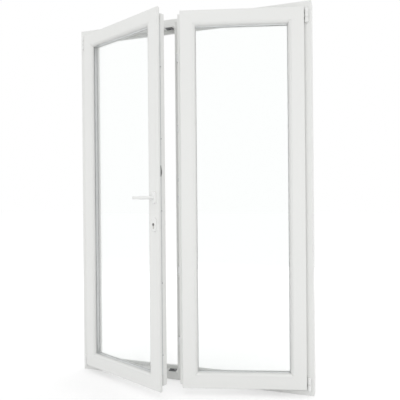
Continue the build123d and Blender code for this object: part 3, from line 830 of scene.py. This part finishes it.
# Rosette, escutcheon and key cylinder
def handle_cover(place, low, high, corner, edge, hole, rim_width, rim_rise):
    """A cover with soft edges and a raised rim round the hole for what passes through it."""
    top = leaf_front - low.y
    cover = Form()
    cover.stack(place, [
        *cover_levels(high.x - low.x, high.z - low.z, corner, edge, top),
        (hole(rim_width), top),
        (hole(rim_width - rim_rise / 2), top + rim_rise),
        (hole(0), top + rim_rise),
        (hole(0), 0),
    ], start_cap=False, end_cap=False)
    return cover


def make_handle_covers():
    """The rosette round the lever's neck and the escutcheon round the key cylinder."""
    rosette = handle_cover(handle_seat, rosette_low, rosette_high, ROSETTE_CORNER, ROSETTE_EDGE,
                           neck_hole, COLLAR_WIDTH, COLLAR_RISE)
    escutcheon = handle_cover(key_seat, escutcheon_low, escutcheon_high, ESCUTCHEON_CORNER,
                              ESCUTCHEON_EDGE, pear, RIM_WIDTH, RIM_RISE)
    make_piece("rosette_cover", rosette, "left_leaf", LEVER, ("handle_rosette",))
    make_piece("escutcheon_cover", escutcheon, "left_leaf", LEVER,
               ("cylinder_escutcheon",))


def make_cylinder_plug():
    """The plug in the key cylinder, darkened as painted shade round the keyhole, and the slot in it,
    black as painted shade.
    """
    reach = leaf_front - shut_box("lock_cylinder")[0].y
    mouth = rectangle(KEY_SLOT_HALF_WIDTH, KEY_SLOT_HALF_HEIGHT)
    plug, key_slot = Form(), Form()
    plug.stack(key_seat, [
        (circle(PLUG_RADIUS), reach - PLUG_RISE),
        (circle(PLUG_RADIUS), reach),
        (circle(PLUG_RADIUS - PLUG_RISE), reach + PLUG_RISE),
        (mouth, reach + PLUG_RISE),
        (mouth, reach - PLUG_RISE),
    ], start_cap=False, end_cap=False)
    key_slot.stack(key_seat, [(mouth, reach), (mouth, reach - PLUG_RISE)])
    make_piece("cylinder_plug", plug, "left_leaf", PLUG_PAINTED_SHADE_METAL)
    make_piece("key_slot", key_slot, "left_leaf", HOLLOW_SHADE_PAINT)


# Screws, caps and sockets
def add_screw(screws, recesses, place):
    """A cross-head screw: a low domed head, and the floor of its recess, which carries painted shade.
    """
    mouth = cross(SCREW_RADIUS)
    screws.stack(place, [
        (circle(SCREW_RADIUS), 0),
        (circle(SCREW_RADIUS * SCREW_SHOULDER), SCREW_RISE * SHOULDER_RISE),
        (circle(SCREW_RADIUS * SCREW_CROWN), SCREW_RISE),
        (mouth, SCREW_RISE),
        (mouth, SCREW_RISE - SCREW_RECESS * RECESS_WALL),
    ], start_cap=False, end_cap=False)
    recesses.stack(place, [
        (mouth, SCREW_RISE - SCREW_RECESS * RECESS_FLOOR),
        (mouth, SCREW_RISE - SCREW_RECESS),
    ])


def add_cap(caps, place, radius, rise):
    """A low domed cap."""
    caps.stack(place, soft_edge(lambda inset: circle(radius - inset), rise, rise), start_cap=False)


def add_socket(sockets, place, radius, rise):
    """The round mouth of a socket: a thin disc that carries painted shade for the hollow inside."""
    sockets.stack(place, [(circle(radius), 0), (circle(radius), rise)])


def add_keep_screws(screws, recesses, middle, along, up):
    """The two screws of a keep: one on its solid end and one on the floor of its slot."""
    keep_seat = seat(middle, along, up)
    for offset, height in ((KEEP_SOLID_END, KEEP_HEIGHT), (KEEP_SLOT_SCREW, KEEP_SLOT_FLOOR)):
        add_screw(screws, recesses, keep_seat @ Matrix.Translation((offset, 0, height)))


def make_lock_edge():
    """The screws of the faceplate, and the key sockets in the cams, with painted shade in their
    recesses and mouths.
    """
    plate_low, plate_high = shut_box("lock_faceplate")
    cam_end = shut_box("lock_cams")[1].x
    hardware_y = (plate_low.y + plate_high.y) / 2
    screws, recesses, sockets = Form(), Form(), Form()
    for level in keep_levels:
        for offset in (0, -2 * CAM_DROP):
            screw_seat = seat((plate_high.x, hardware_y, level + offset), *FACING_RIGHT)
            add_screw(screws, recesses, screw_seat)
        cam_seat = seat((cam_end, hardware_y, level - CAM_DROP), *FACING_RIGHT)
        add_socket(sockets, cam_seat, CAM_SOCKET_RADIUS, CAM_SOCKET_RISE)
    make_piece("faceplate_screws", screws, "left_leaf", ZINC)
    make_piece("faceplate_screw_recesses", recesses, "left_leaf", PAINTED_SHADE_ZINC)
    make_piece("cam_sockets", sockets, "left_leaf", PAINTED_SHADE_ZINC)


def make_keep_screws():
    """The screws of the keeps on the mullion, and of those in the sill and the head."""
    head_low, head_high = shut_box("head_keep")
    keep_x = (head_low.x + head_high.x) / 2
    keep_y = (head_low.y + head_high.y) / 2
    mullion_floor = shut_box("mullion_keeps")[1].x
    sill_floor = shut_box("sill_keep")[0].z
    screws, recesses = Form(), Form()
    for level in keep_levels:
        place = (mullion_floor, keep_y, level)
        add_keep_screws(screws, recesses, place, *FACING_LEFT_ON_END)
    make_piece("mullion_keep_screws", screws, "right_leaf", ZINC)
    make_piece("mullion_keep_recesses", recesses, "right_leaf", PAINTED_SHADE_ZINC)
    screws, recesses = Form(), Form()
    add_keep_screws(screws, recesses, (keep_x, keep_y, sill_floor), *FACING_UP)
    add_keep_screws(screws, recesses, (keep_x, keep_y, head_high.z), *FACING_DOWN)
    make_piece("frame_keep_screws", screws, "frame", ZINC)
    make_piece("frame_keep_recesses", recesses, "frame", PAINTED_SHADE_ZINC)


def make_fixing_caps():
    """The caps over the fixing screws, in the rebates of both jambs."""
    caps = Form()
    for jamb_x, facing in ((-REBATE_FLOOR, FACING_RIGHT), (REBATE_FLOOR, FACING_LEFT)):
        for level in FIXING_LEVELS:
            cap_seat = seat((jamb_x, 0, level), *facing)
            add_cap(caps, cap_seat, FIXING_CAP_RADIUS, FIXING_CAP_RISE)
    make_piece("fixing_screw_caps", caps, "frame", COVER)


def make_hinge_ends():
    """The caps on the ends of the hinge barrels, with the sockets for the adjusting key as discs of
    painted shade.
    """
    caps, sockets = Form(), Form()
    for side in ("left", "right"):
        hinge_x, hinge_y = joint_named(side + "_leaf_hinge")["pos_m"][:2]
        low, high = shut_box(side + "_hinge_bearings")
        for level, facing in ((high.z, FACING_UP), (low.z, FACING_DOWN)):
            end_seat = seat((hinge_x, hinge_y, level), *facing)
            add_cap(caps, end_seat, HINGE_CAP_RADIUS, HINGE_CAP_RISE)
            add_socket(sockets, end_seat, HINGE_SOCKET_RADIUS, HINGE_SOCKET_RISE)
    make_piece("hinge_end_caps", caps, "frame", COVER)
    make_piece("hinge_end_sockets", sockets, "frame", HOLLOW_SHADE_PAINT)


# Drain covers
def make_drain_covers():
    """The hooded covers outside on the sill, each with a mouth at its lower edge: a thin black slab
    of painted shade.
    """
    low, high = shut_box("drain_covers")
    width = high.x - low.x - (len(DRAIN_STEPS) - 1) * DRAIN_SPACING
    depth = high.y - low.y
    hood_z = (low.z + high.z) / 2
    hood = cover_levels(width, high.z - low.z, DRAIN_CORNER, DRAIN_EDGE, depth)
    mouth = rectangle(width * DRAIN_MOUTH_SHARE, DRAIN_MOUTH_HEIGHT / 2)
    hoods, mouths = Form(), Form()
    for step in DRAIN_STEPS:
        hood_seat = seat((step * DRAIN_SPACING, low.y, hood_z), *FACING_WEATHER)
        hoods.stack(hood_seat, hood, start_cap=False)
        mouth_seat = seat((step * DRAIN_SPACING, low.y + depth / 2, low.z), *FACING_DOWN)
        mouths.stack(mouth_seat, [(mouth, -DRAIN_MOUTH_DEPTH), (mouth, DRAIN_MOUTH_RISE)])
    make_piece("drain_hoods", hoods, "frame", COVER, ("drain_covers",))
    make_piece("drain_mouths", mouths, "frame", HOLLOW_SHADE_PAINT)


# Floor, light and camera
def seen_rays(tree):
    """1 for the rays that see the background: from the camera, or by way of gloss or glass."""
    path = tree.nodes.new("ShaderNodeLightPath")
    seen = path.outputs[SEEN_RAYS[0]]
    for ray in SEEN_RAYS[1:]:
        seen = math_node(tree, "MAXIMUM", seen, path.outputs[ray])
    return seen


def studio_floor():
    """A wide pale floor that keeps the door's shadow."""
    mesh = bpy.data.meshes.new("studio_floor")
    signs = ((-1, -1), (1, -1), (1, 1), (-1, 1))
    corners = [(x * FLOOR_HALF, y * FLOOR_HALF, 0) for x, y in signs]
    mesh.from_pydata(corners, [], [(0, 1, 2, 3)])
    material = bpy.data.materials.new("studio_floor")
    material.use_nodes = True
    tree = material.node_tree
    shader = tree.nodes["Principled BSDF"]
    shader.inputs["Base Color"].default_value = FLOOR_WHITE
    shader.inputs["Roughness"].default_value = FLOOR_ROUGHNESS
    shader.inputs["Specular IOR Level"].default_value = 0.0
    shader.inputs["Emission Color"].default_value = STUDIO_WHITE
    lift = math_node(tree, "MULTIPLY", seen_rays(tree), FLOOR_LIFT)
    tree.links.new(lift, shader.inputs["Emission Strength"])
    mesh.materials.append(material)
    floor = bpy.data.objects.new("studio_floor", mesh)
    floor.location.z = -FLOOR_DROP
    bpy.context.scene.collection.objects.link(floor)


def studio_world():
    """White where it is seen, and a plain soft level where it lights the door."""
    world = bpy.data.worlds.new("studio")
    world.use_nodes = True
    tree = world.node_tree
    background = tree.nodes["Background"]
    background.inputs["Color"].default_value = STUDIO_WHITE
    lift = math_node(tree, "MULTIPLY", seen_rays(tree), 1 - AMBIENT)
    tree.links.new(math_node(tree, "ADD", lift, AMBIENT), background.inputs["Strength"])
    bpy.context.scene.world = world


def soft_lamp(name, place, size, watts):
    """A square soft box that faces the middle of the door."""
    data = bpy.data.lights.new(name, "AREA")
    data.size = size
    data.energy = watts
    lamp = bpy.data.objects.new(name, data)
    lamp.location = place
    lamp.rotation_euler = (LAMP_TARGET - Vector(place)).to_track_quat("-Z", "Y").to_euler()
    lamp.visible_camera = False
    lamp.visible_glossy = False
    lamp.visible_transmission = False
    bpy.context.scene.collection.objects.link(lamp)


def photo_camera():
    """The camera of the photograph."""
    data = bpy.data.cameras.new("photo_camera")
    data.sensor_width = SENSOR_WIDTH
    data.lens = SENSOR_WIDTH * FOCAL_PIXELS / PICTURE_WIDTH
    camera = bpy.data.objects.new("photo_camera", data)
    heading = Matrix.Rotation(math.radians(CAMERA_YAW), 4, "Z")
    upright = Matrix.Rotation(math.radians(LEVEL_TILT + CAMERA_PITCH), 4, "X")
    roll = Matrix.Rotation(math.radians(CAMERA_ROLL), 4, "Z")
    camera.matrix_world = Matrix.Translation(CAMERA_PLACE) @ heading @ upright @ roll
    bpy.context.scene.collection.objects.link(camera)
    bpy.context.scene.camera = camera


finish_frame()
finish_leaf("left_leaf", "left_leaf_lock_stile", "left_hinge_arms")
finish_leaf("right_leaf", "right_leaf_meeting_stile", "right_hinge_arms")
finish_hardware()
make_lever()
make_handle_covers()
make_cylinder_plug()
make_lock_edge()
make_keep_screws()
make_fixing_caps()
make_hinge_ends()
make_drain_covers()
studio_floor()
studio_world()
for lamp_values in LAMPS:
    soft_lamp(*lamp_values)
photo_camera()
bpy.context.scene.view_settings.view_transform = "Standard"
